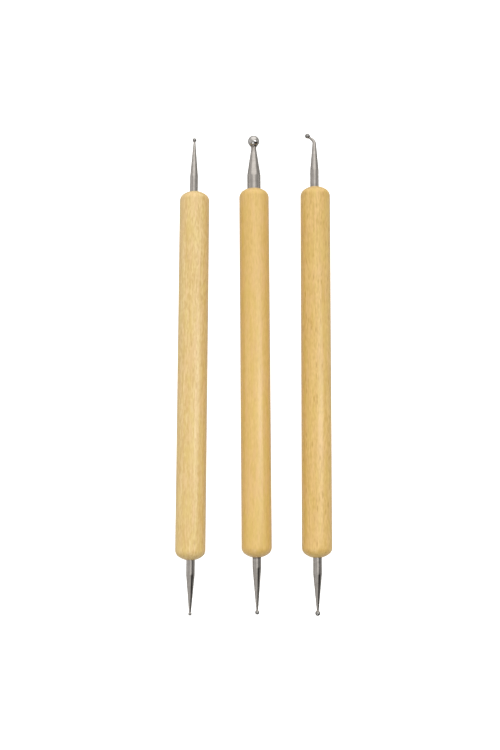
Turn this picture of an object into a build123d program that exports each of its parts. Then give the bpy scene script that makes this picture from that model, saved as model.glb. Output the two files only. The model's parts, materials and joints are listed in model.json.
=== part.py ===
from build123d import *

import os
from dataclasses import dataclass
from math import acos, degrees, radians, sqrt, tan

# Three double-ended styluses for embossing, laid side by side on a table.
# Each is a turned wooden handle with a steel rod glued into either end. The rods taper to a
# thin neck, where a steel ball sits welded in a cup. One rod turns aside before its ball.
# Lengths are in millimetres and angles in degrees. +Y runs along the handles and +Z is up,
# the table is at zero height, and the origin is under the middle of the set.

# Wooden handles, which differ a little in length alone
handle_diameter = 10.2
fine_handle_length = 126.3
broad_handle_length = 126.6
bent_handle_length = 127.2
dome_height = 2.3
shoulder_radius = 2.7

# Blind bore at each end of a handle, and the cured adhesive round the rod in it
bore_depth = 20.0
drill_point_angle = 118.0
mouth_chamfer = 0.25
glue_gap = 0.1
glue_pool = 0.6
glue_fill_share = 0.6
glue_dip_share = 0.25

# Inner end of a rod, and the weld between its neck and the ball
rod_chamfer = 0.3
weld_radius_share = 0.9

# Fine stylus, with a small ball at each end
fine_upper_rod = 2.76
fine_upper_straight = 5.24
fine_upper_neck = 0.74
fine_upper_ball = 1.4
fine_upper_reach = 18.9
fine_upper_off_centre = -0.3

fine_lower_rod = 2.88
fine_lower_straight = 4.76
fine_lower_neck = 0.74
fine_lower_ball = 1.15
fine_lower_reach = 18.2
fine_lower_off_centre = 0.15

# Broad stylus, with the large ball above and a small one below
broad_upper_rod = 4.62
broad_upper_straight = 4.44
broad_upper_neck = 1.8
broad_upper_ball = 4.0
broad_upper_reach = 18.55

broad_lower_rod = 2.9
broad_lower_straight = 3.36
broad_lower_neck = 0.72
broad_lower_ball = 1.45
broad_lower_reach = 18.75

# Bent stylus, whose upper reach is measured along the bent centre line. Its bend run is the
# straight length between the bend and the weld.
bent_upper_rod = 2.94
bent_upper_straight = 5.74
bent_upper_neck = 0.85
bent_upper_ball = 1.75
bent_upper_reach = 19.85
bent_upper_off_centre = -0.25
bend_radius = 2.0
bend_angle = 52.0
bend_run = 0.9

bent_lower_rod = 2.95
bent_lower_straight = 5.36
bent_lower_neck = 0.78
bent_lower_ball = 1.75
bent_lower_reach = 19.1
bent_lower_off_centre = 0.12

# How the three lie: the spaces between their axes, how far each handle's middle is ahead of
# the cross line, and how far each leans from +Y, clockwise from above
pitch_left = 21.4
pitch_right = 20.7
fine_ahead = -1.14
broad_ahead = -0.09
bent_ahead = 0.11
fine_lean = 0.42
broad_lean = -0.41
bent_lean = 0.03

# How far each drill starts outside the wood
overrun = 1.0

# Radius of the ball-shaped dome on each end of a handle, before its shoulder is rounded
dome_radius = ((handle_diameter / 2) ** 2 + dome_height**2) / (2 * dome_height)


@dataclass(frozen=True)
class Bend:
    """A bend of one radius in a rod, and the straight run from it to the weld."""

    radius: float
    angle: float
    run: float


@dataclass(frozen=True)
class Tip:
    """A rod and its ball. Places are along the centre line, out from the handle's end."""

    rod: float
    straight: float
    neck: float
    ball: float
    reach: float
    off_centre: float = 0
    bend: Bend | None = None

    @property
    def rod_radius(self) -> float:
        """The radius of the rod in the wood and up to its taper."""
        return self.rod / 2

    @property
    def bore_radius(self) -> float:
        """The radius of the hole drilled for the rod."""
        return self.rod_radius + glue_gap

    @property
    def mouth_place(self) -> float:
        """Where the wall of the bore would come out of the handle's domed end."""
        return sqrt(dome_radius**2 - self.bore_radius**2) - dome_radius

    @property
    def inner_place(self) -> float:
        """Where the rod's inner end is, above the pool of adhesive."""
        return glue_pool - bore_depth

    @property
    def ball_radius(self) -> float:
        """The radius of the ball and of the cup that it sits in."""
        return self.ball / 2

    @property
    def ball_place(self) -> float:
        """Where the ball's centre is."""
        return self.reach - self.ball_radius

    @property
    def weld_radius(self) -> float:
        """The radius of the weld's hollow flare from the neck out to the ball."""
        return weld_radius_share * self.neck

    @property
    def neck_place(self) -> float:
        """Where the taper ends and the weld's flare begins."""
        from_ball = self.ball_radius + self.weld_radius
        from_axis = self.neck / 2 + self.weld_radius
        return self.ball_place - sqrt(from_ball**2 - from_axis**2)

    @property
    def cup_radius(self) -> float:
        """The radius of the cup's rim, where the flare touches the ball."""
        from_ball = self.ball_radius + self.weld_radius
        return (self.neck / 2 + self.weld_radius) * self.ball_radius / from_ball

    @property
    def cup_place(self) -> float:
        """Where the cup's rim is."""
        return self.ball_place - sqrt(self.ball_radius**2 - self.cup_radius**2)

    @property
    def bend_end(self) -> float:
        """Where a bent rod runs straight again."""
        return self.neck_place - self.bend.run

    @property
    def bend_start(self) -> float:
        """Where a bent rod begins to turn."""
        return self.bend_end - self.bend.radius * radians(self.bend.angle)

    def radius_at(self, place: float) -> float:
        """The taper's radius at a place on the centre line."""
        share = (place - self.straight) / (self.neck_place - self.straight)
        return self.rod_radius + share * (self.neck / 2 - self.rod_radius)


@dataclass(frozen=True)
class Stylus:
    """One stylus: its handle's length, its two tips and how it lies."""

    length: float
    upper: Tip
    lower: Tip
    across: float
    ahead: float
    lean: float

    @property
    def laid(self) -> Plane:
        """The level plane through the handle's axis, with X across it and Y along it."""
        return Plane(
            origin=(self.across, self.ahead, handle_diameter / 2),
            x_dir=Vector(1, 0, 0).rotate(Axis.Z, -self.lean),
            z_dir=(0, 0, 1),
        )

    @property
    def ends(self) -> dict[str, tuple[Tip, Plane]]:
        """Each tip with the level plane at its handle's end, whose Y points out of the wood."""
        laid = self.laid
        top = laid.from_local_coords(Vector(self.upper.off_centre, self.length / 2, 0))
        foot = laid.from_local_coords(Vector(self.lower.off_centre, -self.length / 2, 0))
        return {
            "upper": (self.upper, Plane(origin=top, x_dir=laid.x_dir, z_dir=laid.z_dir)),
            "lower": (self.lower, Plane(origin=foot, x_dir=-laid.x_dir, z_dir=laid.z_dir)),
        }


def spin_axis(plane: Plane) -> Axis:
    """The axis that a profile drawn on this plane turns about."""
    return Axis(plane.origin, plane.y_dir)


def make_handle(stylus: Stylus) -> Part:
    """The turned blank with domed ends and soft shoulders, drilled at both ends."""
    wall = handle_diameter / 2
    half_length = stylus.length / 2
    dome_centre = half_length - dome_radius
    dome_angle = degrees(acos(wall / dome_radius))
    corner = dome_centre + sqrt(dome_radius**2 - wall**2)
    with BuildPart() as handle:
        with BuildSketch(stylus.laid):
            with BuildLine():
                CenterArc((0, dome_centre), dome_radius, dome_angle, 90 - dome_angle)
                Line((wall, corner), (wall, -corner))
                CenterArc((0, -dome_centre), dome_radius, -90, 90 - dome_angle)
                Line((0, -half_length), (0, half_length))
            make_face()
        revolve(axis=spin_axis(stylus.laid))
        fillet(handle.edges().filter_by(GeomType.CIRCLE), shoulder_radius)
        for tip, plane in stylus.ends.values():
            drill_point = tip.bore_radius / tan(radians(drill_point_angle / 2))
            with BuildSketch(plane):
                with BuildLine():
                    Polyline(
                        (0, -bore_depth - drill_point),
                        (tip.bore_radius, -bore_depth),
                        (tip.bore_radius, tip.mouth_place - mouth_chamfer),
                        (tip.bore_radius + mouth_chamfer + overrun, tip.mouth_place + overrun),
                        (0, tip.mouth_place + overrun),
                        close=True,
                    )
                make_face()
            revolve(axis=spin_axis(plane), mode=Mode.SUBTRACT)
    return handle.part


def make_glue(tip: Tip, plane: Plane) -> Part:
    """The cured adhesive: a pool in the drill point, a thin sleeve, and a meniscus at the mouth."""
    drill_point = tip.bore_radius / tan(radians(drill_point_angle / 2))
    throat = tip.mouth_place - mouth_chamfer
    rise = glue_fill_share * mouth_chamfer
    with BuildPart() as glue:
        with BuildSketch(plane):
            with BuildLine():
                Polyline(
                    (tip.rod_radius, tip.mouth_place),
                    (tip.rod_radius, tip.inner_place + rod_chamfer),
                    (tip.rod_radius - rod_chamfer, tip.inner_place),
                    (0, tip.inner_place),
                    (0, -bore_depth - drill_point),
                    (tip.bore_radius, -bore_depth),
                    (tip.bore_radius, throat),
                    (tip.bore_radius + rise, throat + rise),
                )
                SagittaArc(
                    (tip.bore_radius + rise, throat + rise),
                    (tip.rod_radius, tip.mouth_place),
                    glue_dip_share * rise,
                )
            make_face()
        revolve(axis=spin_axis(plane))
    return glue.part


def bend_course(tip: Tip, plane: Plane) -> Curve:
    """The centre line of a rod's bend, which turns to the left of the way out."""
    with BuildLine(plane) as course:
        JernArc((0, tip.bend_start), (0, 1), tip.bend.radius, tip.bend.angle)
    return course.line


def last_run(tip: Tip, plane: Plane) -> tuple[Plane, float]:
    """The plane of a rod's last straight run, and the centre line's length before its origin."""
    if tip.bend is None:
        return plane, 0
    course = bend_course(tip, plane)
    ahead = course % 1
    return Plane(origin=course @ 1, x_dir=ahead.cross(plane.z_dir), z_dir=plane.z_dir), tip.bend_end


def make_rod(tip: Tip, plane: Plane) -> Part:
    """The steel rod: its glued length, straight length, taper, any bend, and cup for the ball."""
    last, gone = last_run(tip, plane)
    foot = [
        (0, tip.inner_place),
        (tip.rod_radius - rod_chamfer, tip.inner_place),
        (tip.rod_radius, tip.inner_place + rod_chamfer),
        (tip.rod_radius, tip.straight),
    ]
    with BuildPart() as rod:
        if tip.bend:
            course = bend_course(tip, plane)
            start, end = tip.bend_start, tip.bend_end
            with BuildSketch(plane):
                with BuildLine():
                    Polyline(*foot, (tip.radius_at(start), start), (0, start), close=True)
                make_face()
            revolve(axis=spin_axis(plane))
            with BuildSketch(Plane(course ^ 0)):
                Circle(tip.radius_at(start))
            with BuildSketch(Plane(course ^ 1)):
                Circle(tip.radius_at(end))
            sweep(path=course, multisection=True)
            foot = [(0, 0), (tip.radius_at(end), 0)]
        neck_end = (tip.neck / 2, tip.neck_place - gone)
        rim_angle = degrees(acos(tip.cup_radius / tip.ball_radius))
        with BuildSketch(last):
            with BuildLine():
                Polyline((0, tip.ball_place - tip.ball_radius - gone), *foot, neck_end)
                TangentArc(neck_end, (tip.cup_radius, tip.cup_place - gone), tangent=(0, 1))
                CenterArc((0, tip.ball_place - gone), tip.ball_radius, -90, 90 - rim_angle)
            make_face()
        revolve(axis=spin_axis(last))
    return rod.part


def make_ball(tip: Tip, plane: Plane) -> Part:
    """The steel ball in its cup at the rod's end."""
    last, gone = last_run(tip, plane)
    centre = last.from_local_coords(Vector(0, tip.ball_place - gone, 0))
    with BuildPart(Plane(origin=centre, x_dir=last.x_dir, z_dir=last.z_dir)) as ball:
        Sphere(tip.ball_radius)
    return ball.part


def keep(piece: Part, name: str) -> None:
    """Name a finished piece and write it to its own file."""
    piece.label = name
    export_step(piece, f"parts/{name}.step")


styluses = {
    "fine": Stylus(
        length=fine_handle_length,
        upper=Tip(
            rod=fine_upper_rod,
            straight=fine_upper_straight,
            neck=fine_upper_neck,
            ball=fine_upper_ball,
            reach=fine_upper_reach,
            off_centre=fine_upper_off_centre,
        ),
        lower=Tip(
            rod=fine_lower_rod,
            straight=fine_lower_straight,
            neck=fine_lower_neck,
            ball=fine_lower_ball,
            reach=fine_lower_reach,
            off_centre=fine_lower_off_centre,
        ),
        across=-(pitch_left + pitch_right) / 2,
        ahead=fine_ahead,
        lean=fine_lean,
    ),
    "broad": Stylus(
        length=broad_handle_length,
        upper=Tip(
            rod=broad_upper_rod,
            straight=broad_upper_straight,
            neck=broad_upper_neck,
            ball=broad_upper_ball,
            reach=broad_upper_reach,
        ),
        lower=Tip(
            rod=broad_lower_rod,
            straight=broad_lower_straight,
            neck=broad_lower_neck,
            ball=broad_lower_ball,
            reach=broad_lower_reach,
        ),
        across=(pitch_left - pitch_right) / 2,
        ahead=broad_ahead,
        lean=broad_lean,
    ),
    "bent": Stylus(
        length=bent_handle_length,
        upper=Tip(
            rod=bent_upper_rod,
            straight=bent_upper_straight,
            neck=bent_upper_neck,
            ball=bent_upper_ball,
            reach=bent_upper_reach,
            off_centre=bent_upper_off_centre,
            bend=Bend(radius=bend_radius, angle=bend_angle, run=bend_run),
        ),
        lower=Tip(
            rod=bent_lower_rod,
            straight=bent_lower_straight,
            neck=bent_lower_neck,
            ball=bent_lower_ball,
            reach=bent_lower_reach,
            off_centre=bent_lower_off_centre,
        ),
        across=(pitch_left + pitch_right) / 2,
        ahead=bent_ahead,
        lean=bent_lean,
    ),
}

os.makedirs("parts", exist_ok=True)
for kind, stylus in styluses.items():
    keep(make_handle(stylus), f"{kind}_handle")
    for end, (tip, plane) in stylus.ends.items():
        keep(make_rod(tip, plane), f"{kind}_{end}_rod")
        keep(make_ball(tip, plane), f"{kind}_{end}_ball")
        keep(make_glue(tip, plane), f"{kind}_{end}_glue")
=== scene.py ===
"""Three double-ended styluses for embossing, dressed for a studio photograph.

Each has a turned wooden handle and, glued into either end, a tapered steel rod with a ball on
it. Every length is in metres in the row's own frame: +Y runs along the handles, +Z is up and
the table is at zero height. Angles are in degrees.
"""

import json
import logging
from dataclasses import dataclass
from enum import Enum
from math import acos, pi, radians, sqrt, tan

import bpy
import numpy as np
from mathutils import Matrix, Vector


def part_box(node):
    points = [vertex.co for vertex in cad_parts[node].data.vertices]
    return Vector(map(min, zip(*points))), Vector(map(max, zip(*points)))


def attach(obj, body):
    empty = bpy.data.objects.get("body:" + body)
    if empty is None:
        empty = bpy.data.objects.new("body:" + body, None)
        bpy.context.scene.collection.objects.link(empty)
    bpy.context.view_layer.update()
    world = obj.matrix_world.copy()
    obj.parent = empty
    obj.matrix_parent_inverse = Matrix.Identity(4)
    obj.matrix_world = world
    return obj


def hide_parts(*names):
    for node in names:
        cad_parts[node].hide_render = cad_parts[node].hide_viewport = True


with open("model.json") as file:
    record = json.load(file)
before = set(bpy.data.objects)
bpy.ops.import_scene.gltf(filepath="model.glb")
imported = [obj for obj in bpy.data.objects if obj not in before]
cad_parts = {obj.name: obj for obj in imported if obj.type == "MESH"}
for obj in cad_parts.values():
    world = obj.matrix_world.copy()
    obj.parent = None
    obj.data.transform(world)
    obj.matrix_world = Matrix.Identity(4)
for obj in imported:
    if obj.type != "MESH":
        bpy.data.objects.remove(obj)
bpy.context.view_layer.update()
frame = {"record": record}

log = logging.getLogger("styluses")

# A millimetre, in which the distance between the CAD part's box and that of what shows is logged
MM = 0.001

# Faces that meet at more than this angle keep a sharp edge between them
SHARP_ANGLE = 28.0

# A triple is a point, a direction or a scale, and a shade or a number may come from a socket
Triple = tuple[float, float, float]
Rgb = tuple[float, float, float]
Socket = bpy.types.NodeSocket
Number = Socket | float
Shade = Socket | tuple[float, ...]


class End(Enum):
    """The two ends of a stylus, and which way along +Y each looks."""

    UPPER = 1
    LOWER = -1

    @property
    def word(self) -> str:
        """The end's name in the names of nodes and pieces."""
        return self.name.lower()


# Surfaces


def signed_volume(corners: np.ndarray, faces: np.ndarray) -> float:
    """Six times the volume inside triangles: the sum of each one's triple product.

    Args:
        corners: Points, one row each.
        faces: Triangles, as rows of three point numbers.

    Returns:
        A positive number where the triangles face outwards.
    """
    a, b, c = (corners[faces[:, k]] for k in range(3))
    return float(np.sum(a * np.cross(b, c)))


def skin(name: str, rings: np.ndarray, **fields: np.ndarray) -> bpy.types.Object:
    """A closed skin over rings of points, with a single point at either end.

    Point j of ring i joins point j + 1 of the same ring and point j of ring i + 1. The first and
    last rings have shrunk to a point each, which closes the skin with fans of triangles.

    Args:
        name: The piece's name.
        rings: The points, as (ring, point round the ring, coordinate).
        fields: Numbers for each point of the rings, each kept as an attribute of its name.

    Returns:
        The piece, smooth but for its real edges.
    """
    count, around, _ = rings.shape
    corners = np.concatenate([rings[:1, 0], rings[1:-1].reshape(-1, 3), rings[-1:, 0]])
    number = 1 + np.arange((count - 2) * around).reshape(count - 2, around)
    ahead = np.roll(number, -1, axis=1)
    first = np.stack([np.zeros(around, int), ahead[0], number[0]], axis=1)
    last = np.stack([np.full(around, len(corners) - 1), number[-1], ahead[-1]], axis=1)
    sides = np.stack([number[:-1], ahead[:-1], ahead[1:], number[1:]], axis=2).reshape(-1, 4)
    halves = np.concatenate([first, last, sides[:, :3], sides[:, [0, 2, 3]]])
    if signed_volume(corners, halves) < 0:
        first, last, sides = first[:, ::-1], last[:, ::-1], sides[:, ::-1]
    loops = np.concatenate([first.ravel(), last.ravel(), sides.ravel()])
    totals = np.concatenate([np.full(2 * around, 3), np.full(len(sides), 4)])
    mesh = bpy.data.meshes.new(name)
    mesh.vertices.add(len(corners))
    mesh.vertices.foreach_set("co", corners.astype(np.float32).ravel())
    mesh.loops.add(len(loops))
    mesh.loops.foreach_set("vertex_index", loops.astype(np.int32))
    mesh.polygons.add(len(totals))
    mesh.polygons.foreach_set("loop_start", (np.cumsum(totals) - totals).astype(np.int32))
    mesh.update(calc_edges=True)
    mesh.validate()
    mesh.shade_smooth()
    mesh.set_sharp_from_angle(angle=radians(SHARP_ANGLE))
    for field, numbers in fields.items():
        numbers = np.broadcast_to(numbers, rings.shape[:2])
        values = np.concatenate([numbers[:1, 0], numbers[1:-1].ravel(), numbers[-1:, 0]])
        mesh.attributes.new(field, "FLOAT", "POINT").data.foreach_set("value", values.astype(np.float32))
    piece = bpy.data.objects.new(name, mesh)
    bpy.context.scene.collection.objects.link(piece)
    return piece


def angles(around: int) -> np.ndarray:
    """Evenly spaced angles round a ring, in radians, as one row."""
    return np.linspace(0, 2 * pi, around, endpoint=False)[None, :]


def between(*stops: tuple[float, float, int]) -> np.ndarray:
    """Evenly spaced places along straight stretches.

    Args:
        stops: The start, the end and the number of steps of each stretch.

    Returns:
        All the places as one column, each stretch without its end but the last.
    """
    parts = [np.linspace(a, b, steps, endpoint=False) for a, b, steps in stops]
    return np.concatenate([*parts, [stops[-1][1]]])[:, None]


def waves(theta: np.ndarray, *terms: tuple[int, float]) -> np.ndarray:
    """The sum of cosines, each with its number of waves round the piece and its phase in radians."""
    return sum(np.cos(count * theta + phase) for count, phase in terms)


def ripple(
    theta: np.ndarray,
    along: np.ndarray,
    seed: int,
    lines: tuple[int, int],
    drift: float,
    cosines: int = 14,
    swells: tuple[float, float] = (6.0, 22.0),
) -> np.ndarray:
    """Fine lines that run along a turned piece and wander slowly round it.

    It is a sum of cosines, each of a whole number of waves round the piece, with a phase that
    turns slowly along it. Every number is drawn from one seeded generator.

    Args:
        theta: Angles round the piece.
        along: Places along it.
        seed: The generator's seed.
        lines: The fewest and the most waves round the piece.
        drift: How many waves a line may wander in a metre.
        cosines: How many cosines are added up.
        swells: The fewest and the most times that a line swells and fades in a metre.

    Returns:
        Values from about -1 to 1 for each place and angle.
    """
    draw = np.random.default_rng(seed)
    total = np.zeros((along.shape[0], theta.shape[1]))
    for count in draw.integers(*lines, cosines):
        slide = drift * draw.uniform(-1, 1)
        swell = 0.6 + 0.4 * np.cos(2 * pi * (draw.uniform(*swells) * along + draw.random()))
        total += swell * np.cos(count * theta + 2 * pi * (slide * along + draw.random()))
    return total / sqrt(cosines * 2)


# Sizes of the styluses

# The waves round the weld, the meniscus and the edge of the painted shade at the mouth, as numbers and
# phases
WELD_WAVES = ((5, 0.0), (3, 1.3), (8, 4.1))
GLUE_WAVES = ((3, 0.4), (7, 2.0))
MOUTH_SHADE_WAVES = ((3, 0.4),)


@dataclass(frozen=True)
class Lie:
    """Where a stylus lies: the middle of its handle's axis, and its own three directions."""

    middle: np.ndarray
    turn: np.ndarray

    @classmethod
    def of(cls, kind: str) -> "Lie":
        """Reads the lie of one stylus from its handle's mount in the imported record.

        Args:
            kind: The stylus's kind, the first word of its nodes' names.

        Returns:
            Its lie.
        """
        mount = next(m for m in frame["record"]["mounts"] if m["name"] == f"{kind}_handle_grip")
        along = np.array(mount["axis"], float)
        up = np.array([0.0, 0.0, 1.0])
        return cls(np.array(mount["pos_m"], float), np.stack([np.cross(along, up), along, up]))

    def place(self, points: np.ndarray) -> np.ndarray:
        """Points given as (across, along, up) from the handle's middle, in the row's frame."""
        return self.middle + points @ self.turn


@dataclass(frozen=True)
class Bend:
    """A bend of one radius in a rod, and the straight run from it to the weld."""

    radius: float
    angle: float
    run: float


@dataclass(frozen=True)
class Handle:
    """The turned wooden handle, and the blind bores in its domed ends."""

    length: float
    diameter: float = 10.2 * MM
    dome_height: float = 2.3 * MM
    shoulder_radius: float = 2.7 * MM
    bore_depth: float = 20.0 * MM
    drill_point_angle: float = 118.0
    mouth_chamfer: float = 0.25 * MM
    glue_gap: float = 0.1 * MM
    around: int = 232
    dome_steps: int = 26
    shoulder_steps: int = 24
    wall_steps: int = 300
    mouth_rounds: int = 6
    grain_depth: float = 0.012 * MM
    grain_lines: tuple[int, int] = (9, 70)
    grain_drift: float = 26.0
    lathe_depth: float = 0.008 * MM
    lathe_pitch: float = 3.7 * MM

    @property
    def wall(self) -> float:
        """The handle's radius."""
        return self.diameter / 2

    @property
    def dome_radius(self) -> float:
        """The radius of the ball-shaped dome on each end."""
        return (self.wall**2 + self.dome_height**2) / (2 * self.dome_height)

    @property
    def shoulder_rise(self) -> float:
        """How far the shoulder's centre lies beyond the dome's, along the handle."""
        between_centres = self.dome_radius - self.shoulder_radius
        return sqrt(between_centres**2 - (self.wall - self.shoulder_radius) ** 2)

    @property
    def dome_edge(self) -> float:
        """The radius at which the dome passes into the rounded shoulder."""
        share = self.dome_radius / (self.dome_radius - self.shoulder_radius)
        return (self.wall - self.shoulder_radius) * share

    @property
    def wall_end(self) -> float:
        """How far from the handle's middle its straight wall ends."""
        return self.length / 2 - self.dome_radius + self.shoulder_rise

    def drill_point(self, bore_radius: float) -> float:
        """The length of the cone that the drill leaves at the bottom of a bore."""
        return bore_radius / tan(radians(self.drill_point_angle / 2))

    def on_dome(self, distance: np.ndarray) -> np.ndarray:
        """The dome's height above the handle's end, at a distance from the axis. It is never positive."""
        return np.sqrt(self.dome_radius**2 - distance**2) - self.dome_radius

    def mouth_radius(self, bore_radius: float, off_centre: float, theta: np.ndarray) -> np.ndarray:
        """The radius at which the mouth's 45-degree chamfer comes out of the dome.

        The chamfer's height grows as its radius does, and the dome's height is known at every
        distance from the axis, so a few rounds of putting one into the other find where they meet.

        Args:
            bore_radius: The bore's radius.
            off_centre: How far the bore lies from the handle's axis.
            theta: Angles round the bore.

        Returns:
            The radius about the bore's own axis at each angle.
        """
        radius = np.full_like(theta, bore_radius + self.mouth_chamfer)
        mouth = self.on_dome(np.array(bore_radius))
        for _ in range(self.mouth_rounds):
            distance = np.hypot(off_centre + radius * np.cos(theta), radius * np.sin(theta))
            radius = bore_radius + self.mouth_chamfer + self.on_dome(distance) - mouth
        return radius

    def end_rings(self, tip: "Tip") -> np.ndarray:
        """The rings of one end, from the bore's bottom out of its mouth and over dome and shoulder.

        On the dome a ring's centre slides from the bore's axis to the handle's, while its radius
        grows, and its height is the dome's own at each point's distance from the handle's axis.

        Args:
            tip: The tip that is glued into this end.

        Returns:
            Points as (ring, angle, coordinate), with the end's own height along the handle.
        """
        theta = angles(self.around)
        bore, off = tip.bore_radius, tip.off_centre
        throat = float(self.on_dome(np.array(bore))) - self.mouth_chamfer
        mouth = self.mouth_radius(bore, off, theta)
        cone_shares = np.array([1.0, 0.5])
        bore_shares = np.array([0.0, 0.25, 0.5, 0.75, 0.9, 1.0])
        inside = np.concatenate([1 - cone_shares, np.ones_like(bore_shares)])[:, None] * bore
        cone = -self.drill_point(bore) * cone_shares
        level = np.concatenate([cone, bore_shares * (self.bore_depth + throat)])[:, None] - self.bore_depth
        shape = (len(level), self.around)
        bore_part = (np.full(shape, off), np.broadcast_to(inside, shape), np.broadcast_to(level, shape))
        share = between((0, 1, self.dome_steps))
        radius = mouth + share * (self.dome_edge - mouth)
        centre = off * (1 - share) * np.ones_like(radius)
        distance = np.hypot(centre + radius * np.cos(theta), radius * np.sin(theta))
        dome_part = (centre, radius, self.on_dome(distance))
        start = acos((self.dome_edge - self.wall + self.shoulder_radius) / self.shoulder_radius)
        swing = between((start, 0, self.shoulder_steps))[1:]
        shape = (len(swing), self.around)
        round_off = self.shoulder_radius * np.sin(swing) + self.shoulder_rise - self.dome_radius
        shoulder_part = (
            np.zeros(shape),
            np.broadcast_to(self.wall - self.shoulder_radius * (1 - np.cos(swing)), shape),
            np.broadcast_to(round_off, shape),
        )
        centre, radius, level = (np.concatenate(p) for p in zip(bore_part, dome_part, shoulder_part))
        x = centre + radius * np.cos(theta)
        return np.stack([x, level + self.length / 2, radius * np.sin(theta)], axis=2)

    def relief(self, place: np.ndarray, theta: np.ndarray, seed: int) -> np.ndarray:
        """How far the turned and sanded wood lies below its full radius.

        Fibres stand a little apart along the grain, and the turning tool left long shallow waves.
        Both only lower the surface.

        Args:
            place: Places along the handle, as a column.
            theta: Angles round it, as a row.
            seed: The seed of this handle's grain.

        Returns:
            Depths for each place and angle.
        """
        lines = ripple(theta, place, seed, self.grain_lines, self.grain_drift)
        grain = 0.5 - 0.5 * np.clip(lines, -1, 1)
        tool = 0.5 - 0.5 * np.cos(2 * pi * place / self.lathe_pitch + np.sin(place / self.lathe_pitch))
        return self.grain_depth * grain + self.lathe_depth * tool

    def rings(self, upper: "Tip", lower: "Tip", seed: int) -> np.ndarray:
        """All rings of the handle, from the bottom of one bore to the bottom of the other.

        The relief draws each point of the wall towards the axis. It fades out on the shoulders,
        so that the domes and bores keep their shape.

        Args:
            upper: The tip in the upper end.
            lower: The tip in the lower end.
            seed: The seed of this handle's grain.

        Returns:
            Points as (ring, angle, coordinate) from the handle's middle.
        """
        top = self.end_rings(upper)
        foot = self.end_rings(lower) * np.array([1, -1, 1])
        theta = angles(self.around)
        place = between((self.wall_end, -self.wall_end, self.wall_steps))[1:-1]
        wall = self.wall * np.stack(
            np.broadcast_arrays(np.cos(theta), np.zeros_like(place), np.sin(theta)), axis=2
        )
        wall[:, :, 1] = place
        rings = np.concatenate([top, wall, foot[::-1]])
        level = rings[:, :, 1].mean(axis=1, keepdims=True)
        before_end = self.wall_end + self.shoulder_radius / 2 - np.abs(level)
        fade = np.clip(before_end / self.shoulder_radius, 0, 1)
        lower_by = self.relief(level, theta, seed) * fade
        distance = np.hypot(rings[:, :, 0], rings[:, :, 2])
        scale = 1 - lower_by / np.maximum(distance, self.wall / 2)
        rings[:, :, 0] *= scale
        rings[:, :, 2] *= scale
        return rings


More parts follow.
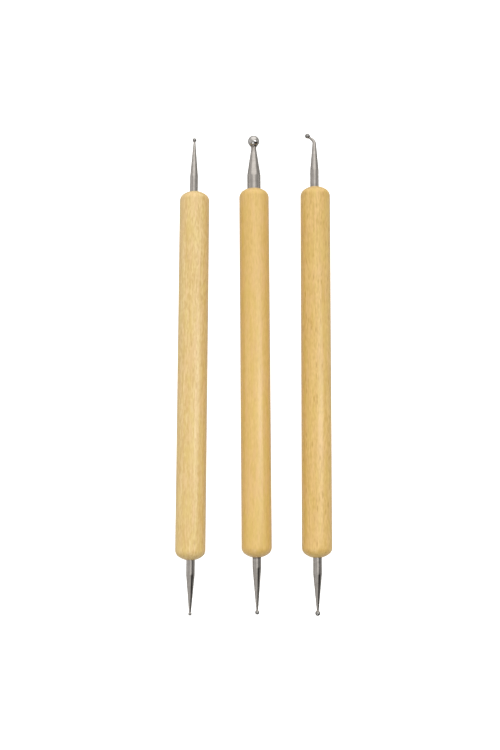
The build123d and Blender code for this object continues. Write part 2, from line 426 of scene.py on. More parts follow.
@dataclass(frozen=True)
class Tip:
    """One rod with its ball and the adhesive round it, on one end of a handle.

    Places are along the rod's centre line, out from the handle's end. Tarnish and shade is how
    dark the ball is, and mouth shade how dark a band of painted shade on the rod where it meets
    the wood. Both go from 0 to 1.
    """

    handle: Handle
    end: End
    rod: float
    straight: float
    neck: float
    ball: float
    reach: float
    off_centre: float = 0.0
    tarnish: float = 0.55
    mouth_shade: float = 0.1
    bend: Bend | None = None
    rod_chamfer: float = 0.3 * MM
    weld_radius_share: float = 0.9
    weld_ripple_share: float = 0.05
    bead_reach_share: float = 2.0
    weld_heat: float = 0.5
    heat_reach_share: float = 1.5
    glue_pool: float = 0.6 * MM
    glue_fill_share: float = 0.6
    glue_dip_share: float = 0.25
    glue_and_shade_ripple_share: float = 0.3
    mouth_shade_height: float = 0.6 * MM
    mouth_shade_steepness: float = 1.4
    around: int = 128
    straight_steps: int = 40
    taper_steps: int = 150
    weld_steps: int = 12
    ball_steps: int = 96
    meniscus_steps: int = 10

    @property
    def rod_radius(self) -> float:
        """The radius of the rod in the wood and up to its taper."""
        return self.rod / 2

    @property
    def bore_radius(self) -> float:
        """The radius of the hole that the rod is glued into."""
        return self.rod_radius + self.handle.glue_gap

    @property
    def mouth_place(self) -> float:
        """Where the bore's wall would come out of the dome."""
        return float(self.handle.on_dome(np.array(self.bore_radius)))

    @property
    def inner_place(self) -> float:
        """Where the rod's inner end is, above the pool of adhesive."""
        return self.glue_pool - self.handle.bore_depth

    @property
    def ball_radius(self) -> float:
        """The radius of the ball and of the cup that it sits in."""
        return self.ball / 2

    @property
    def ball_place(self) -> float:
        """Where the ball's centre is."""
        return self.reach - self.ball_radius

    @property
    def weld_radius(self) -> float:
        """The radius of the weld's hollow flare from the neck out to the ball."""
        return self.weld_radius_share * self.neck

    @property
    def weld_span(self) -> float:
        """The distance from the ball's centre to the flare's own centre."""
        return self.ball_radius + self.weld_radius

    @property
    def neck_place(self) -> float:
        """Where the taper ends and the weld's flare begins."""
        return self.ball_place - sqrt(self.weld_span**2 - (self.neck / 2 + self.weld_radius) ** 2)

    @property
    def cup_radius(self) -> float:
        """The radius of the cup's rim, where the flare touches the ball."""
        return (self.neck / 2 + self.weld_radius) * self.ball_radius / self.weld_span

    @property
    def bend_end(self) -> float:
        """Where a bent rod runs straight again."""
        return self.neck_place - self.bend.run

    @property
    def bend_start(self) -> float:
        """Where a bent rod begins to turn."""
        return self.bend_end - self.bend.radius * radians(self.bend.angle)

    def about_line(self, place: np.ndarray, radius: np.ndarray, theta: np.ndarray) -> np.ndarray:
        """Points at a radius round the rod's centre line.

        Before the bend the line runs straight. In the bend its heading turns evenly, so its
        point is that of an arc: sideways by radius times one less the cosine, ahead by radius
        times the sine. Past the bend it runs straight at the last heading.

        Args:
            place: Places along the centre line.
            radius: The distance from it.
            theta: Angles round it.

        Returns:
            Points as (ring, angle, coordinate) from the handle's middle.
        """
        place, radius, theta = np.broadcast_arrays(place, radius, theta)
        heading = np.zeros_like(place)
        aside = np.zeros_like(place)
        ahead = place.copy()
        if self.bend:
            past = np.clip(place - self.bend_start, 0, self.bend_end - self.bend_start)
            beyond = np.maximum(place - self.bend_end, 0)
            heading = past / self.bend.radius
            aside = self.bend.radius * (1 - np.cos(heading)) + beyond * np.sin(heading)
            ahead = np.minimum(place, self.bend_start) + self.bend.radius * np.sin(heading)
            ahead = ahead + beyond * np.cos(heading)
        x = self.off_centre - aside + radius * np.cos(theta) * np.cos(heading)
        y = self.handle.length / 2 + ahead + radius * np.cos(theta) * np.sin(heading)
        return np.stack([x, self.end.value * y, radius * np.sin(theta)], axis=2)

    def rod_profile(self) -> tuple[np.ndarray, np.ndarray]:
        """The rod's outline as places and radii: inner end, cylinder, taper, weld flare and cup.

        The flare is an arc about a point outside the neck that touches the taper's end and the
        ball, and the cup is the ball's own arc from its rim back to the centre line.

        Returns:
            Places and radii, each as a column.
        """
        inner, chamfer = self.inner_place, self.rod_chamfer
        foot = np.array([[inner, 0], [inner, self.rod_radius - chamfer]])
        cylinder = between((inner + chamfer, self.straight, self.straight_steps))
        cylinder = np.hstack([cylinder, np.full_like(cylinder, self.rod_radius)])
        taper = between((self.straight, self.neck_place, self.taper_steps))[1:]
        share = (taper - self.straight) / (self.neck_place - self.straight)
        taper = np.hstack([taper, self.rod_radius + share * (self.neck / 2 - self.rod_radius)])
        flare_axis = self.neck / 2 + self.weld_radius
        last = acos(flare_axis / self.weld_span)
        swing = between((0, last, self.weld_steps))[1:]
        flare = np.hstack([
            self.neck_place + self.weld_radius * np.sin(swing),
            flare_axis - self.weld_radius * np.cos(swing),
        ])
        dip = between((acos(self.cup_radius / self.ball_radius), pi / 2, self.weld_steps))[1:]
        cup = np.hstack([self.ball_place - self.ball_radius * np.sin(dip), self.ball_radius * np.cos(dip)])
        cup[-1, 1] = 0
        profile = np.concatenate([foot, cylinder, taper, flare, cup])
        return profile[:, :1], profile[:, 1:]

    def rod_rings(self) -> tuple[np.ndarray, np.ndarray, np.ndarray]:
        """The rod's rings, with the weld's bead a little uneven round the neck.

        The weld's heat has darkened the rod near the ball, over one and a half neck widths. At
        the mouth, where the rod meets the wood, a band of painted shade darkens it up to the band's
        uneven edge.

        Returns:
            The points, the place of each along the centre line, and how dark each is.
        """
        theta = angles(self.around)
        place, radius = self.rod_profile()
        bead_reach = self.weld_radius * self.bead_reach_share
        bead = np.clip(1 - np.abs(place - self.neck_place) / bead_reach, 0, 1)
        bead = np.where(radius > self.cup_radius, 0, bead)
        uneven = waves(theta, *WELD_WAVES) - 1
        radius = radius * (1 + self.weld_ripple_share / len(WELD_WAVES) * bead * uneven)
        from_ball = self.ball_place - self.ball_radius - place
        heat = self.weld_heat * np.clip(1 - from_ball / (self.heat_reach_share * self.neck), 0, 1) ** 2
        # Painted shade: the rod is darkened where it meets the wood, up to an uneven edge
        edge = self.mouth_shade_height * (1 + self.glue_and_shade_ripple_share * waves(theta, *MOUTH_SHADE_WAVES))
        left = 1 - (place - self.mouth_place) / edge
        mouth_shade_band = self.mouth_shade * np.clip(self.mouth_shade_steepness * left, 0, 1)
        return self.about_line(place, radius, theta), place, np.maximum(heat, mouth_shade_band)

    def ball_rings(self) -> np.ndarray:
        """The ball's rings.

        The sine of the angle from the centre line gives a ring's radius, and the cosine its place.

        Returns:
            Points as (ring, angle, coordinate) from the handle's middle.
        """
        swing = between((0, pi, self.ball_steps))
        radius = self.ball_radius * np.sin(swing)
        radius[[0, -1]] = 0
        place = self.ball_place - self.ball_radius * np.cos(swing)
        return self.about_line(place, radius, angles(self.around))

    def glue_rings(self) -> np.ndarray:
        """The adhesive's rings: the pool, the sleeve and a meniscus with an uneven edge.

        The meniscus hangs as a shallow arc between the rod and the mouth's chamfer: a straight
        line from one to the other, lowered by a parabola that is nought at both.

        Returns:
            The points from the pool's top over the meniscus to the drill point.
        """
        theta = angles(self.around)
        inner, rod, bore = self.inner_place, self.rod_radius, self.bore_radius
        throat = self.mouth_place - self.handle.mouth_chamfer
        uneven = waves(theta, *GLUE_WAVES) / len(GLUE_WAVES)
        rise = self.glue_fill_share * self.handle.mouth_chamfer * (1 + self.glue_and_shade_ripple_share * uneven)
        share = between((0, 1, self.meniscus_steps))
        dip = 4 * self.glue_dip_share * rise * share * (1 - share)
        arc_radius = rod + share * (bore + rise - rod)
        arc_place = self.mouth_place + share * (throat + rise - self.mouth_place) - dip
        before = np.array([
            [inner, 0],
            [inner, rod - self.rod_chamfer],
            [inner + self.rod_chamfer, rod],
        ])
        depth = self.handle.bore_depth
        after = np.array([[throat, bore], [-depth, bore], [-depth - self.handle.drill_point(bore), 0]])
        ones = np.ones_like(theta)
        place = np.concatenate([before[:, :1] * ones, arc_place, after[:, :1] * ones])
        radius = np.concatenate([before[:, 1:] * ones, arc_radius, after[:, 1:] * ones])
        return self.about_line(place, radius, theta)


# Finishes


@dataclass
class Graph:
    """Adds nodes to one tree. A value given to a socket is another socket or a plain value."""

    tree: bpy.types.NodeTree

    def add(self, kind: str, sockets: dict | None = None, **settings: object) -> bpy.types.Node:
        """Adds one node.

        Args:
            kind: The node's type, without its leading word ShaderNode.
            sockets: Values or other nodes' sockets, by the input's name or number.
            settings: The node's own settings.

        Returns:
            The new node.
        """
        node = self.tree.nodes.new(f"ShaderNode{kind}")
        for name, value in settings.items():
            setattr(node, name, value)
        for name, value in (sockets or {}).items():
            if isinstance(value, Socket):
                self.tree.links.new(value, node.inputs[name])
            else:
                node.inputs[name].default_value = value
        return node

    def math(self, operation: str, a: Number, b: Number, clamp: bool = False) -> Socket:
        """One sum on two numbers."""
        return self.add("Math", {0: a, 1: b}, operation=operation, use_clamp=clamp).outputs[0]

    def vector(self, operation: str, a: Socket, b: Triple) -> bpy.types.Node:
        """One sum on two vectors."""
        return self.add("VectorMath", {0: a, 1: b}, operation=operation)

    def mix(self, share: Number, first: Shade, second: Shade) -> Socket:
        """A colour between two others, which the mix node takes at its sockets 6 and 7."""
        return self.add("Mix", {0: share, 6: first, 7: second}, data_type="RGBA").outputs[2]

    def blend(self, share: Number, first: Number, second: Number) -> Socket:
        """A number between two others, which the mix node takes at its sockets 2 and 3."""
        return self.add("Mix", {0: share, 2: first, 3: second}, data_type="FLOAT").outputs[0]

    def spread(
        self, value: Socket, low: float, high: float, to_low: Number = 0.0, to_high: Number = 1.0
    ) -> Socket:
        """A value carried smoothly from one range to another, and held at its ends."""
        ranges = {"Value": value, "From Min": low, "From Max": high, "To Min": to_low, "To Max": to_high}
        return self.add("MapRange", ranges, interpolation_type="SMOOTHSTEP").outputs[0]

    def noise(
        self, vector: Socket, scale: float = 1.0, detail: float = 3.0, **more: float
    ) -> bpy.types.NodeOutputs:
        """A soft noise's outputs: Fac is its value, and Color its colour."""
        sockets = {"Vector": vector, "Scale": scale, "Detail": detail} | more
        return self.add("TexNoise", sockets).outputs

    def stretch(self, vector: Socket, scale: Triple, shift: Triple = (0.0, 0.0, 0.0)) -> Socket:
        """A vector with each direction scaled, and then shifted."""
        return self.add("Mapping", {"Vector": vector, "Scale": scale, "Location": shift}).outputs[0]

    def attribute(self, name: str) -> Socket:
        """The value of one of the surface's own attributes."""
        return self.add("Attribute", attribute_name=name, attribute_type="GEOMETRY").outputs["Fac"]


def new_group(
    name: str, takes: dict[str, str], gives: dict[str, str]
) -> tuple[Graph, bpy.types.NodeOutputs, bpy.types.NodeInputs]:
    """An empty shader node group.

    Args:
        name: The group's name.
        takes: Its inputs' kinds by name: Float, Color or Vector.
        gives: Its outputs' kinds by name.

    Returns:
        A graph on the group, its input sockets by name, and the output node's sockets.
    """
    tree = bpy.data.node_groups.new(name, "ShaderNodeTree")
    for socket, kind in takes.items():
        tree.interface.new_socket(name=socket, in_out="INPUT", socket_type=f"NodeSocket{kind}")
    for socket, kind in gives.items():
        tree.interface.new_socket(name=socket, in_out="OUTPUT", socket_type=f"NodeSocket{kind}")
    given = tree.nodes.new("NodeGroupInput").outputs
    out = tree.nodes.new("NodeGroupOutput").inputs
    return Graph(tree), given, out


@dataclass(frozen=True)
class Layer:
    """One layer of noise, squeezed across the piece and drawn out along it.

    Across and along are the numbers of cells in a metre. What the layer gives between its two
    edges is carried to its two levels.
    """

    across: float
    along: float
    shift: Triple = (0.0, 0.0, 0.0)
    detail: float = 2.0
    roughness: float = 0.5
    twist: float = 0.0
    edges: tuple[float, float] = (0.0, 1.0)
    levels: tuple[float, float] = (0.0, 1.0)

    def cells(self, g: Graph, where: Socket) -> Socket:
        """A position counted in the layer's own cells."""
        return g.stretch(where, (self.across, self.along, self.across), self.shift)

    def noise(self, g: Graph, where: Socket, output: str = "Fac") -> Socket:
        """The layer's noise at a position, as its value or its colour."""
        more = {"Roughness": self.roughness, "Distortion": self.twist}
        return g.noise(self.cells(g, where), detail=self.detail, **more)[output]

    def level(self, g: Graph, value: Socket) -> Socket:
        """The noise's value, carried from the edges to the levels."""
        return g.spread(value, *self.edges, *self.levels)


# The grain wanders aside by up to its reach
WANDER = Layer(across=60.0, along=14.0, detail=1.0)
WANDER_REACH = 0.9 * MM

# The layers that colour the wood
FIBRE = Layer(across=1750.0, along=520.0, detail=1.0, edges=(0.34, 0.66), levels=(0.0, 0.6))
THREAD = Layer(across=1250.0, along=65.0, shift=(2.0, 1.0, 5.0), edges=(0.36, 0.64), levels=(0.0, 0.45))
HAIR = Layer(
    across=5200.0,
    along=230.0,
    shift=(7.0, 3.0, 8.0),
    roughness=0.6,
    edges=(0.3, 0.7),
    levels=(-0.3, 0.3),
)
STREAK = Layer(across=330.0, along=11.0, shift=(3.1, 0.4, 7.7), edges=(0.46, 0.66))
CLOUD = Layer(across=240.0, along=105.0, shift=(9.0, 2.0, 1.0))
TINT = Layer(across=1000.0, along=130.0, shift=(5.0, 6.0, 4.0), detail=1.0)

# Between which sums of cloud and tint the wood turns rosy, and straw
ROSY_EDGES = (1.0, 1.25)
STRAW_EDGES = (1.0, 0.75)

# The cells that hold a pore at their middle, and between which of their own numbers they count
PORE = Layer(across=1150.0, along=250.0, edges=(0.10, 0.38), levels=(1.0, 0.0))
PORE_COUNTS = (0.45, 0.70)

# How much fibres and hairs stand up, and pores lie low, in the height
FIBRE_SHARE = 0.6
HAIR_SHARE = 0.12
PORE_SHARE = 0.4

# The smears that fingers and a cloth leave
SMEAR = Layer(across=1.0, along=0.45, detail=4.0, roughness=0.6, twist=0.6, edges=(0.3, 0.7))


def wood_figure() -> bpy.types.NodeTree:
    """The figure of straight-grained pale wood.

    Fibres and threads give close lines between a pale and a deep tone, hairs give finer ones
    among them, streaks give broader ones, and clouds shift patches between rosy and straw.
    Narrow cells, of which only some count, give the pores as short dark dashes.

    Returns:
        A group from a position along the grain's own axes to colour, pores and height.
    """
    takes = {"Vector": "Vector"}
    takes |= {name: "Color" for name in ("Pale", "Deep", "Rosy", "Straw", "Pore")}
    takes |= {name: "Float" for name in ("Fibres", "Streaks", "Clouds", "Pores")}
    g, given, out = new_group("wood_figure", takes, {"Color": "Color", "Pores": "Float", "Height": "Float"})
    aside = WANDER.noise(g, given["Vector"], "Color")
    aside = g.vector("MULTIPLY", aside, (WANDER_REACH, 0.0, WANDER_REACH)).outputs[0]
    where = g.vector("ADD", given["Vector"], aside).outputs[0]
    fibre = FIBRE.noise(g, where)
    thread = THREAD.noise(g, where)
    hair = HAIR.level(g, HAIR.noise(g, where))
    streak = STREAK.noise(g, where)
    patch = g.math("ADD", CLOUD.noise(g, where), TINT.noise(g, where))
    cell = {"Vector": PORE.cells(g, where), "Scale": 1.0, "Randomness": 1.0}
    fleck = g.add("TexVoronoi", cell, feature="F1")
    rare = g.add("SeparateColor", {"Color": fleck.outputs["Color"]}).outputs[0]
    narrow = PORE.level(g, fleck.outputs["Distance"])
    pore = g.math("MULTIPLY", narrow, g.spread(rare, *PORE_COUNTS))
    lines = g.math("ADD", FIBRE.level(g, fibre), THREAD.level(g, thread))
    tone = g.math("MULTIPLY", g.math("ADD", lines, hair), given["Fibres"])
    color = g.mix(tone, given["Pale"], given["Deep"])
    band = g.math("MULTIPLY", STREAK.level(g, streak), given["Streaks"])
    color = g.mix(band, color, given["Deep"])
    rosy = g.math("MULTIPLY", g.spread(patch, *ROSY_EDGES), given["Clouds"])
    straw = g.math("MULTIPLY", g.spread(patch, *STRAW_EDGES), given["Clouds"])
    color = g.mix(rosy, color, given["Rosy"])
    color = g.mix(straw, color, given["Straw"])
    color = g.mix(g.math("MULTIPLY", pore, given["Pores"]), color, given["Pore"])
    raised = g.math("MULTIPLY", fibre, FIBRE_SHARE)
    height = g.math("SUBTRACT", raised, g.math("MULTIPLY", pore, PORE_SHARE))
    height = g.math("ADD", height, g.math("MULTIPLY", hair, HAIR_SHARE))
    for name, value in (("Color", color), ("Pores", pore), ("Height", height)):
        g.tree.links.new(value, out[name])
    return g.tree


def handling() -> bpy.types.NodeTree:
    """The marks of fingers and of the cloth that wiped a piece, as a roughness.

    Returns:
        A group from a position to a roughness between two limits.
    """
    takes = {"Vector": "Vector", "Scale": "Float", "Least": "Float", "Most": "Float"}
    g, given, out = new_group("handling", takes, {"Roughness": "Float"})
    scaled = g.add("VectorMath", {0: given["Vector"], "Scale": given["Scale"]}, operation="SCALE").outputs[0]
    smear = g.spread(SMEAR.noise(g, scaled), *SMEAR.edges, given["Least"], given["Most"])
    g.tree.links.new(smear, out["Roughness"])
    return g.tree


def turning_marks() -> bpy.types.NodeTree:
    """The rings that a lathe or a grinding wheel leaves round a piece.

    Returns:
        A group from a distance along the piece, and the rings' pitch, to a height.
    """
    g, given, out = new_group("turning_marks", {"Run": "Float", "Pitch": "Float"}, {"Height": "Float"})
    count = g.math("DIVIDE", given["Run"], given["Pitch"])
    marks = g.add("TexNoise", {"W": count, "Scale": 1.0, "Detail": 3.0}, noise_dimensions="1D")
    g.tree.links.new(marks.outputs["Fac"], out["Height"])
    return g.tree


@dataclass(frozen=True)
class Groups:
    """The node groups that the finishes share."""

    figure: bpy.types.NodeTree
    handling: bpy.types.NodeTree
    marks: bpy.types.NodeTree

    def smear(self, g: Graph, where: Socket, scale: float, roughness: tuple[float, float]) -> Socket:
        """Places the marks of handling in a material.

        Args:
            g: The material's graph.
            where: The position.
            scale: The number of smears in a metre.
            roughness: The least and the most roughness.

        Returns:
            The roughness at the position.
        """
        least, most = roughness
        sockets = {"Vector": where, "Scale": scale, "Least": least, "Most": most}
        return g.add("Group", sockets, node_tree=self.handling).outputs[0]


def start_material(name: str) -> tuple[bpy.types.Material, Graph, bpy.types.Node]:
    """A material with a plain Principled surface.

    Args:
        name: The material's name.

    Returns:
        The material, a graph on its nodes, and its Principled node.
    """
    material = bpy.data.materials.new(name)
    material.use_nodes = True
    g = Graph(material.node_tree)
    g.tree.nodes.clear()
    surface = g.add("BsdfPrincipled")
    g.add("OutputMaterial", {"Surface": surface.outputs[0]})
    return material, g, surface


@dataclass(frozen=True)
class Wood:
    """Satin-varnished wood of one handle.

    The four shares say how strongly each part of the figure shows, and the seed from which
    place in the figure the handle is cut. The varnish lies thinner over the low places.
    """

    slot: str
    pale: Rgb
    deep: Rgb
    rosy: Rgb
    straw: Rgb
    pore: Rgb
    fibres: float
    streaks: float
    clouds: float
    pores: float
    seed: int
    seed_step: tuple[float, float] = (0.31, 0.17)
    cut_height: float = 0.23
    smear_scale: float = 260.0
    roughness: tuple[float, float] = (0.44, 0.60)
    pore_roughness: float = 0.15
    coat: tuple[float, float] = (0.65, 1.0)
    coat_edges: tuple[float, float] = (0.15, 0.45)
    coat_roughness: float = 0.26
    relief: float = 0.04 * MM
    relief_strength: float = 0.5
    ior: float = 1.45

    def dress(self, lie: Lie, groups: Groups) -> bpy.types.Material:
        """Makes the material, with the grain along one handle's own axis.

        Args:
            lie: Where the handle lies.
            groups: The shared node groups.

        Returns:
            The material.
        """
        material, g, surface = start_material(self.slot)
        where = g.add("TexCoord").outputs["Object"]
        own = g.vector("SUBTRACT", where, tuple(lie.middle)).outputs[0]
        lean = float(np.arctan2(lie.turn[1, 0], lie.turn[1, 1]))
        own = g.add("VectorRotate", {"Vector": own, "Angle": lean}, rotation_type="Z_AXIS").outputs[0]
        cut = (self.seed_step[0] * self.seed, self.seed_step[1] * self.seed, self.cut_height)
        own = g.vector("ADD", own, cut).outputs[0]
        colors = ("pale", "deep", "rosy", "straw", "pore")
        shares = ("fibres", "streaks", "clouds", "pores")
        sockets = {"Vector": own}
        sockets |= {name.title(): (*getattr(self, name), 1) for name in colors}
        sockets |= {name.title(): getattr(self, name) for name in shares}
        figure = g.add("Group", sockets, node_tree=groups.figure).outputs
        smear = groups.smear(g, own, self.smear_scale, self.roughness)
        rough = g.math("ADD", smear, g.math("MULTIPLY", figure["Pores"], self.pore_roughness), clamp=True)
        heights = {"Height": figure["Height"], "Distance": self.relief, "Strength": self.relief_strength}
        bump = g.add("Bump", heights)
        varnish = g.spread(figure["Height"], *self.coat_edges, *self.coat)
        g.tree.links.new(figure["Color"], surface.inputs["Base Color"])
        g.tree.links.new(rough, surface.inputs["Roughness"])
        g.tree.links.new(bump.outputs[0], surface.inputs["Normal"])
        g.tree.links.new(varnish, surface.inputs["Coat Weight"])
        surface.inputs["Coat Roughness"].default_value = self.coat_roughness
        surface.inputs["IOR"].default_value = self.ior
        return material


@dataclass(frozen=True)
class Steel:
    """Bare steel, turned and ground or polished."""

    slot: str
    bright: Rgb
    dull: Rgb
    tarnished: Rgb
    roughness: tuple[float, float]
    mark_pitch: float
    mark_depth: float
    smear_scale: float = 420.0
    cloud_scale: float = 900.0
    cloud_edges: tuple[float, float] = (0.35, 0.7)

    def dress(self, groups: Groups) -> bpy.types.Material:
        """Makes the material, with its turning marks along the piece's own length.

        Args:
            groups: The shared node groups.

        Returns:
            The material.
        """
        material, g, surface = start_material(self.slot)
        where = g.add("TexCoord").outputs["Object"]
        cloud = g.noise(where, self.cloud_scale)["Fac"]
        color = g.mix(g.spread(cloud, *self.cloud_edges), (*self.bright, 1), (*self.dull, 1))
        # The darkening holds the weld's heat tint and the ball's tarnish, and on the rods also painted shade
        # where they meet the wood
        color = g.mix(g.attribute("tarnish"), color, (*self.tarnished, 1))
        sockets = {"Run": g.attribute("run"), "Pitch": self.mark_pitch}
        marks = g.add("Group", sockets, node_tree=groups.marks)
        bump = g.add("Bump", {"Height": marks.outputs[0], "Distance": self.mark_depth, "Strength": 1.0})
        g.tree.links.new(color, surface.inputs["Base Color"])
        smear = groups.smear(g, where, self.smear_scale, self.roughness)
        g.tree.links.new(smear, surface.inputs["Roughness"])
        g.tree.links.new(bump.outputs[0], surface.inputs["Normal"])
        surface.inputs["Metallic"].default_value = 1.0
        return material


@dataclass(frozen=True)
class Adhesive:
    """Cured amber adhesive, with a tone between thin and thick from place to place."""

    slot: str
    thin: Rgb
    thick: Rgb
    cloud_scale: float = 1800.0
    smear_scale: float = 900.0
    roughness: tuple[float, float] = (0.12, 0.3)
    ior: float = 1.5

    def dress(self, groups: Groups) -> bpy.types.Material:
        """Makes the material, cloudy where the adhesive took up dust.

        Args:
            groups: The shared node groups.

        Returns:
            The material.
        """
        material, g, surface = start_material(self.slot)
        where = g.add("TexCoord").outputs["Object"]
        cloud = g.noise(where, self.cloud_scale)["Fac"]
        g.tree.links.new(g.mix(cloud, (*self.thin, 1), (*self.thick, 1)), surface.inputs["Base Color"])
        smear = groups.smear(g, where, self.smear_scale, self.roughness)
        g.tree.links.new(smear, surface.inputs["Roughness"])
        surface.inputs["IOR"].default_value = self.ior
        return material


# Its darkest tone stands for the heat tint near the ball and for the painted shade at the mouth
ROD_STEEL = Steel(
    slot="rod_steel",
    bright=(0.469, 0.441, 0.418),
    dull=(0.408, 0.382, 0.359),
    tarnished=(0.165, 0.13, 0.108),
    roughness=(0.10, 0.16),
    mark_pitch=0.09 * MM,
    mark_depth=0.0006 * MM,
)
BALL_STEEL = Steel(
    slot="ball_steel",
    bright=(0.544, 0.528, 0.512),
    dull=(0.484, 0.468, 0.452),
    tarnished=(0.12, 0.12, 0.115),
    roughness=(0.10, 0.16),
    mark_pitch=0.2 * MM,
    mark_depth=0.0,
)
ADHESIVE = Adhesive(slot="adhesive", thin=(0.16, 0.10, 0.045), thick=(0.07, 0.04, 0.016))


# The styluses


@dataclass(frozen=True)
class Finishes:
    """The finishes that every stylus shares, ready made."""

    rod: bpy.types.Material
    ball: bpy.types.Material
    glue: bpy.types.Material


@dataclass(frozen=True)
class Stylus:
    """One stylus: its handle, its two tips and its wood."""

    kind: str
    handle: Handle
    upper: Tip
    lower: Tip
    wood: Wood

    def settle(self, piece: bpy.types.Object, node: str, material: bpy.types.Material) -> None:
        """Dresses a finished piece, puts it on its body and lets it stand for its node.

        Args:
            piece: The piece, already in place.
            node: The CAD node that it stands for.
            material: The piece's material.
        """
        piece.data.materials.append(material)
        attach(piece, f"{self.kind}_stylus")
        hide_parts(node)
        low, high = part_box(node)
        corners = np.zeros(len(piece.data.vertices) * 3, np.float32)
        piece.data.vertices.foreach_get("co", corners)
        corners = corners.reshape(-1, 3)
        off = max(np.abs(corners.min(0) - low).max(), np.abs(corners.max(0) - high).max())
        faces = len(piece.data.polygons)
        log.info("%s: %d faces, within %.3f mm of %s's box", piece.name, faces, off / MM, node)

    def build(self, groups: Groups, finishes: Finishes) -> None:
        """Builds every piece of the stylus.

        Args:
            groups: The shared node groups.
            finishes: The finishes of the steel and the adhesive.
        """
        lie = Lie.of(self.kind)
        rings = self.handle.rings(self.upper, self.lower, self.wood.seed)
        piece = skin(f"{self.kind}_turned_handle", lie.place(rings))
        self.settle(piece, f"{self.kind}_handle", self.wood.dress(lie, groups))
        for tip in (self.upper, self.lower):
            name = f"{self.kind}_{tip.end.word}"
            # The rod's darkness: heat tint near the ball, and painted shade where it meets the wood
            points, run, dark = tip.rod_rings()
            rod = skin(f"{name}_ground_rod", lie.place(points), run=run, tarnish=dark)
            self.settle(rod, f"{name}_rod", finishes.rod)
            ball = skin(f"{name}_polished_ball", lie.place(tip.ball_rings()), tarnish=np.array(tip.tarnish))
            self.settle(ball, f"{name}_ball", finishes.ball)
            glue = skin(f"{name}_cured_glue", lie.place(tip.glue_rings()))
            self.settle(glue, f"{name}_glue", finishes.glue)


def styluses() -> list[Stylus]:
    """The three styluses, with the sizes and woods that tell them apart.

    Returns:
        The fine, the broad and the bent stylus.
    """
    fine_handle = Handle(length=126.3 * MM)
    fine = Stylus(
        kind="fine",
        handle=fine_handle,
        upper=Tip(
            handle=fine_handle,
            end=End.UPPER,
            rod=2.76 * MM,
            straight=5.24 * MM,
            neck=0.74 * MM,
            ball=1.4 * MM,
            reach=18.9 * MM,
            off_centre=-0.3 * MM,
        ),
        lower=Tip(
            handle=fine_handle,
            end=End.LOWER,
            rod=2.88 * MM,
            straight=4.76 * MM,
            neck=0.74 * MM,
            ball=1.15 * MM,
            reach=18.2 * MM,
            off_centre=0.15 * MM,
        ),
        wood=Wood(
            slot="fine_wood",
            pale=(0.882, 0.669, 0.305),
            deep=(0.73, 0.493, 0.173),
            rosy=(0.882, 0.606, 0.305),
            straw=(0.809, 0.615, 0.202),
            pore=(0.51, 0.303, 0.112),
            fibres=1.1,
            streaks=0.3,
            clouds=0.4,
            pores=0.32,
            seed=3,
        ),
    )
    broad_handle = Handle(length=126.6 * MM)
    broad = Stylus(
        kind="broad",
        handle=broad_handle,
        upper=Tip(
            handle=broad_handle,
            end=End.UPPER,
            rod=4.62 * MM,
            straight=4.44 * MM,
            neck=1.8 * MM,
            ball=4.0 * MM,
            reach=18.55 * MM,
            tarnish=0.0,
        ),
        lower=Tip(
            handle=broad_handle,
            end=End.LOWER,
            rod=2.9 * MM,
            straight=3.36 * MM,
            neck=0.72 * MM,
            ball=1.45 * MM,
            reach=18.75 * MM,
            # A strong band of painted shade where this rod meets the wood
            mouth_shade=0.75,
        ),
        wood=Wood(
            slot="broad_wood",
            pale=(0.815, 0.549, 0.187),
            deep=(0.708, 0.455, 0.113),
            rosy=(0.815, 0.52, 0.212),
            straw=(0.757, 0.529, 0.133),
            pore=(0.566, 0.351, 0.088),
            fibres=0.7,
            streaks=0.25,
            clouds=0.5,
            pores=0.22,
            seed=7,
        ),
    )
    bent_handle = Handle(length=127.2 * MM)
    bent = Stylus(
        kind="bent",
        handle=bent_handle,
        upper=Tip(
            handle=bent_handle,
            end=End.UPPER,
            rod=2.94 * MM,
            straight=5.74 * MM,
            neck=0.85 * MM,
            ball=1.75 * MM,
            reach=19.85 * MM,
            off_centre=-0.25 * MM,
            bend=Bend(radius=2.0 * MM, angle=52.0, run=0.9 * MM),
        ),
        lower=Tip(
            handle=bent_handle,
            end=End.LOWER,
            rod=2.95 * MM,
            straight=5.36 * MM,
            neck=0.78 * MM,
            ball=1.75 * MM,
            reach=19.1 * MM,
            off_centre=0.12 * MM,
        ),
        wood=Wood(
            slot="bent_wood",
            pale=(0.824, 0.562, 0.199),
            deep=(0.657, 0.412, 0.095),
            rosy=(0.804, 0.516, 0.214),
            straw=(0.735, 0.526, 0.13),
            pore=(0.487, 0.273, 0.042),
            fibres=0.78,
            streaks=0.4,
            clouds=0.4,
            pores=0.58,
            seed=11,
        ),
    )
    return [fine, broad, bent]


# The studio


@dataclass(frozen=True)
class SoftLight:
    """A softbox, given by its direction from the set, its size, brightness and distance.

    Its width runs along X as seen from the set, and its height along Y. The brightness is the
    light's own radiance, where a white surface in full light has 1.
    """

    name: str
    toward_x: float
    toward_y: float
    width: float
    height: float
    radiance: float
    distance: float = 0.6

    def build(self) -> None:
        """Puts the light in its place, turned towards the set's middle."""
        lamp = bpy.data.lights.new(self.name, "AREA")
        lamp.shape = "RECTANGLE"
        lamp.size = self.width
        lamp.size_y = self.height
        lamp.energy = self.radiance * pi * self.width * self.height
        thing = bpy.data.objects.new(self.name, lamp)
        way = Vector((tan(radians(self.toward_x)), tan(radians(self.toward_y)), 1.0)).normalized()
        across = Vector((way.z, 0.0, -way.x)).normalized()
        thing.location = way * self.distance
        thing.rotation_mode = "QUATERNION"
        thing.rotation_quaternion = Matrix((across, way.cross(across), way)).transposed().to_quaternion()
        bpy.context.scene.collection.objects.link(thing)


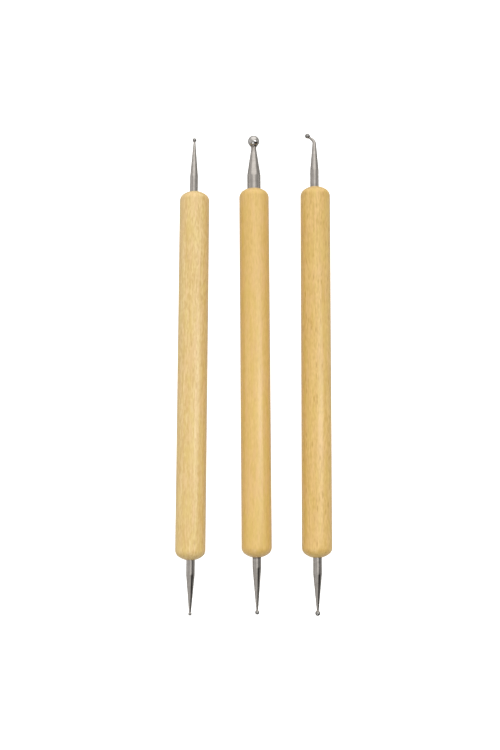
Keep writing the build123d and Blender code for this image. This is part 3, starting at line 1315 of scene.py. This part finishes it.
@dataclass(frozen=True)
class Patch:
    """A soft patch of light on the room's walls, seen in the direction of its middle.

    It fades in as the cosine of the angle to its middle goes from its outer to its inner edge.
    """

    name: str
    middle: Triple
    outer: float
    inner: float
    brightness: float

    def light(self, g: Graph, way: Socket) -> Socket:
        """Adds the patch's nodes.

        Args:
            g: The world's graph.
            way: The direction.

        Returns:
            The patch's brightness in that direction.
        """
        middle = tuple(Vector(self.middle).normalized())
        facing = g.vector("DOT_PRODUCT", way, middle)
        facing.label = self.name
        return g.spread(facing.outputs["Value"], self.outer, self.inner, to_high=self.brightness)


@dataclass(frozen=True)
class Room:
    """The light of the room, which the steel and the varnish reflect.

    The walls are pale to the left and at the far end, and fade to dark towards the right and the
    near end, with soft patches of light on them. Below the table's level the room is evenly lit.
    The camera sees a plain backdrop instead.
    """

    patches: tuple[Patch, ...]
    walls: float = 0.66
    dark_toward: Triple = (0.35, -1.0, 0.0)
    dark_fade: tuple[float, float] = (0.12, 0.475)
    right_share: float = 0.55
    right_fade: tuple[float, float] = (0.5, 1.0)
    least: float = 0.04
    below: float = 0.48
    below_fade: tuple[float, float] = (-0.05, -0.5)
    tint: Rgb = (1.0, 0.985, 0.955)
    backdrop: float = 0.93

    def build(self) -> None:
        """Makes the world that lights the scene."""
        world = bpy.data.worlds.new("room")
        bpy.context.scene.world = world
        world.use_nodes = True
        g = Graph(world.node_tree)
        g.tree.nodes.clear()
        way = g.add("TexCoord").outputs["Generated"]
        right, _, height = g.add("SeparateXYZ", {"Vector": way}).outputs
        away = g.vector("DOT_PRODUCT", way, self.dark_toward).outputs["Value"]
        walls = g.spread(away, *self.dark_fade, self.walls, 0.0)
        light = g.math("MULTIPLY", walls, g.spread(right, *self.right_fade, 1.0, self.right_share))
        for patch in self.patches:
            light = g.math("ADD", light, patch.light(g, way))
        light = g.math("ADD", light, self.least)
        total = g.blend(g.spread(height, *self.below_fade), light, self.below)
        shares = {number: g.math("MULTIPLY", total, share) for number, share in enumerate(self.tint)}
        lit = g.add("Background", {"Color": g.add("CombineColor", shares).outputs[0], "Strength": 1.0})
        plain = g.add("Background", {"Color": (*[self.backdrop] * 3, 1), "Strength": 1.0})
        seen = g.add("LightPath").outputs["Is Camera Ray"]
        both = g.add("MixShader", {0: seen, 1: lit.outputs[0], 2: plain.outputs[0]})
        g.add("OutputWorld", {"Surface": both.outputs[0]})


@dataclass(frozen=True)
class Studio:
    """The plain pale table, the room, the softboxes and the camera."""

    room: Room
    softboxes: tuple[SoftLight, ...]
    table_size: float = 6.0
    table_color: Rgb = (0.84, 0.84, 0.83)
    table_glow: float = 0.8
    camera_distance: float = 0.400
    camera_tilt: float = 5.884
    looks_at: Triple = (-1.473 * MM, -1.824 * MM, 5.0 * MM)
    focal_px: float = 1174.95
    picture_height_px: int = 750
    sensor: float = 36.0

    def build(self) -> None:
        """Builds the whole studio."""
        self.table()
        self.room.build()
        self.camera()
        for light in self.softboxes:
            light.build()
        bpy.context.scene.view_settings.view_transform = "Standard"

    def table(self) -> None:
        """The table: one pale sheet, lit from below a little, as an illuminated table is."""
        half = self.table_size / 2
        corners = [(-half, -half, 0), (half, -half, 0), (half, half, 0), (-half, half, 0)]
        mesh = bpy.data.meshes.new("table")
        mesh.from_pydata(corners, [], [(0, 1, 2, 3)])
        table = bpy.data.objects.new("table", mesh)
        bpy.context.scene.collection.objects.link(table)
        table.visible_glossy = False
        material = bpy.data.materials.new("table")
        material.use_nodes = True
        g = Graph(material.node_tree)
        g.tree.nodes.clear()
        sheet = g.add("BsdfDiffuse", {"Color": (*self.table_color, 1)})
        glow = g.add("Emission", {"Color": (1, 1, 1, 1), "Strength": self.table_glow})
        lit = g.add("AddShader", {0: sheet.outputs[0], 1: glow.outputs[0]})
        seen = g.add("LightPath").outputs["Is Camera Ray"]
        both = g.add("MixShader", {0: seen, 1: sheet.outputs[0], 2: lit.outputs[0]})
        g.add("OutputMaterial", {"Surface": both.outputs[0]})
        mesh.materials.append(material)

    def camera(self) -> None:
        """The camera, nearly straight above the set, as the photograph was taken."""
        data = bpy.data.cameras.new("camera")
        data.sensor_width = self.sensor
        data.lens = self.focal_px * self.sensor / self.picture_height_px
        camera = bpy.data.objects.new("camera", data)
        tilt = radians(self.camera_tilt)
        back = Vector((0.0, -np.sin(tilt), np.cos(tilt)))
        camera.location = Vector(self.looks_at) + back * self.camera_distance
        camera.rotation_euler = (tilt, 0.0, 0.0)
        bpy.context.scene.collection.objects.link(camera)
        bpy.context.scene.camera = camera


STUDIO = Studio(
    room=Room(
        patches=(
            Patch("far wall", (0.0, 0.85, 0.53), outer=0.62, inner=0.86, brightness=0.75),
            Patch("window above", (0.05, 0.02, 1.0), outer=0.88, inner=0.995, brightness=0.34),
            Patch("near wall", (-0.10, -0.90, 0.35), outer=0.70, inner=0.94, brightness=0.40),
            Patch("low left", (-1.0, 0.15, 0.06), outer=0.90, inner=0.99, brightness=0.22),
            Patch("low right", (1.0, 0.04, 0.02), outer=0.90, inner=0.99, brightness=0.38),
        )
    ),
    softboxes=(
        SoftLight("softbox_above", toward_x=7.0, toward_y=1.0, width=0.17, height=0.20, radiance=0.6),
        SoftLight("softbox_right", toward_x=35.0, toward_y=3.6, width=0.38, height=0.11, radiance=5.4),
        SoftLight("softbox_front", toward_x=-15.0, toward_y=-41.0, width=0.17, height=0.12, radiance=6.0),
    ),
)


def main() -> None:
    """Builds the studio and the three styluses."""
    logging.basicConfig(level=logging.INFO, format="%(message)s")
    groups = Groups(wood_figure(), handling(), turning_marks())
    finishes = Finishes(
        rod=ROD_STEEL.dress(groups),
        ball=BALL_STEEL.dress(groups),
        glue=ADHESIVE.dress(groups),
    )
    STUDIO.build()
    for stylus in styluses():
        stylus.build(groups, finishes)


if __name__ == "__main__":
    main()
